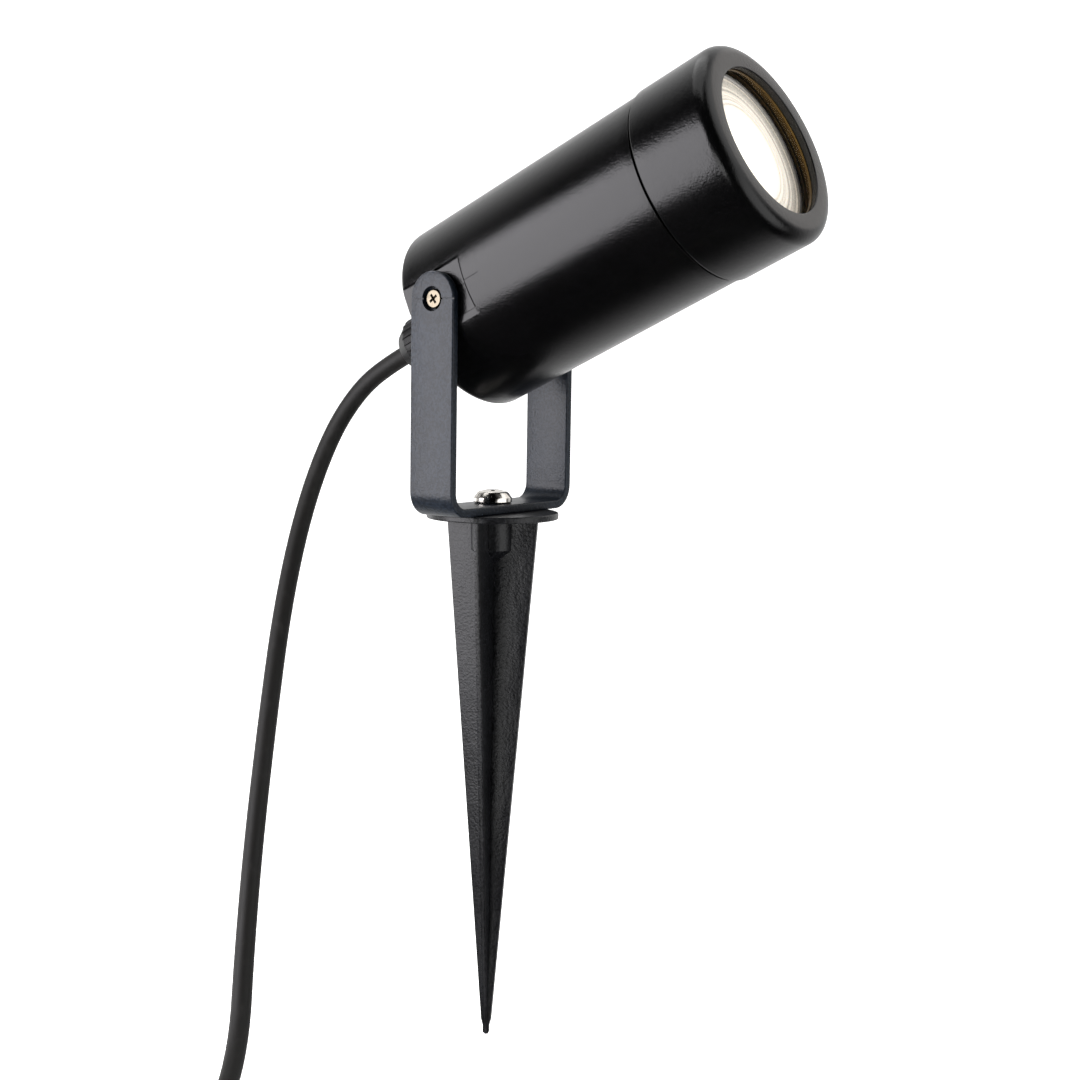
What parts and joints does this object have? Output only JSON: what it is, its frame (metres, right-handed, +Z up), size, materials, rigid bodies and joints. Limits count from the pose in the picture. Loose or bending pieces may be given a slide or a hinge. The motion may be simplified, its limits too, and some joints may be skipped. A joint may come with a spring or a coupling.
{
  "type": "garden spike spotlight",
  "caption": "Tubular spotlight that tilts in a bent-strip yoke on a four-finned ground spike, with a screw-on glazed front ring, a replaceable lamp and a flexible cord.",
  "frame": {"origin": "on the spike's axis, at the underside of its flange, which is the ground line", "axes": "+Z up along the spike, +X the horizontal direction that the beam points to, +Y along the tilt axis"},
  "size_m": [0.1758, 0.1893, 0.3044],
  "materials": {
    "head_coat": "black powder coat, semi-gloss, fine orange peel",
    "yoke_coat": "slate black powder coat, matt",
    "plain_aluminium": "as cast, inside the lamp and the bezel",
    "spike_plastic": "black moulded plastic, finely textured",
    "gland_plastic": "black nylon",
    "holder_ceramic": "off-white",
    "block_plastic": "natural nylon",
    "lamp_plastic": "grey lamp body",
    "lamp_optic": "warm frosted lens with fine rings",
    "led_white": "white board",
    "led_yellow": "phosphor",
    "glass": "clear toughened glass",
    "black_rubber": "black",
    "nickel": "nickel-plated steel",
    "zinc_steel": "zinc-plated",
    "brass": "plain",
    "tin_copper": "tinned copper",
    "core_brown": "brown insulation",
    "core_blue": "blue insulation",
    "core_green": "green and yellow insulation",
    "tie_plastic": "black nylon"
  },
  "bodies": {
    "spike": {"ground_spike": "spike_plastic", "threaded_insert": "brass", "clamp_screw": "nickel"},
    "yoke": {"yoke": "yoke_coat", "cable": "black_rubber", "cable_coil": "black_rubber", "cable_tie": "tie_plastic", "end_core_live": "core_brown", "end_core_neutral": "core_blue", "end_core_earth": "core_green", "wire_sleeves": "tin_copper"},
    "lens_set": {"lens_glass": "glass", "lens_gasket": "black_rubber"},
    "bezel": {"front_bezel": "head_coat"},
    "lamp": {"lamp_housing": "lamp_plastic", "lamp_lens": "lamp_optic", "led_board": "led_white", "led_chips": "led_yellow", "lamp_pins": "nickel"},
    "head": {"head_body": "head_coat", "pivot_washers": "black_rubber", "pivot_screws": "nickel", "bezel_seal_ring": "black_rubber", "lamp_holder": "holder_ceramic", "holder_contacts": "brass", "holder_bracket": "zinc_steel", "holder_screws": "zinc_steel", "bracket_screws": "zinc_steel", "terminal_block": "block_plastic", "terminal_clamps": "brass", "terminal_screws": "zinc_steel", "block_screw": "zinc_steel", "earth_lug": "tin_copper", "earth_screw": "zinc_steel", "core_live": "core_brown", "core_neutral": "core_blue", "core_earth": "core_green", "lead_live": "core_brown", "lead_neutral": "core_blue", "gland_body": "gland_plastic", "gland_washer": "black_rubber", "gland_locknut": "gland_plastic", "gland_bush": "black_rubber", "gland_nut": "gland_plastic", "cable_entry": "black_rubber"}
  },
  "joints": [
    {"name": "swivel", "type": "hinge", "parent": "spike", "child": "yoke", "pos_m": [0, 0, 0.002], "axis": [0, 0, 1], "range_deg": [-180, 180]},
    {"name": "tilt", "type": "hinge", "parent": "yoke", "child": "head", "pos_m": [0, 0, 0.067], "axis": [0, -1, 0], "range_deg": [-43.5, 65.4], "deforming": ["cable"]},
    {"name": "bezel_lift", "type": "slide", "parent": "head", "child": "lens_set", "axis": [0.9096, 0, 0.4155], "range_m": [0, 0.0075]},
    {"name": "bezel_turn", "type": "hinge", "parent": "lens_set", "child": "bezel", "pos_m": [0, 0, 0.067], "axis": [0.9096, 0, 0.4155], "range_deg": [0, 1800]},
    {"name": "lamp_twist", "type": "hinge", "parent": "head", "child": "lamp", "pos_m": [0, 0, 0.067], "axis": [0.9096, 0, 0.4155], "range_deg": [0, 30]}
  ],
  "couplings": [
    {"joint": "bezel_lift", "follows": "bezel_turn", "m_per_rad": 0.00023873}
  ]
}
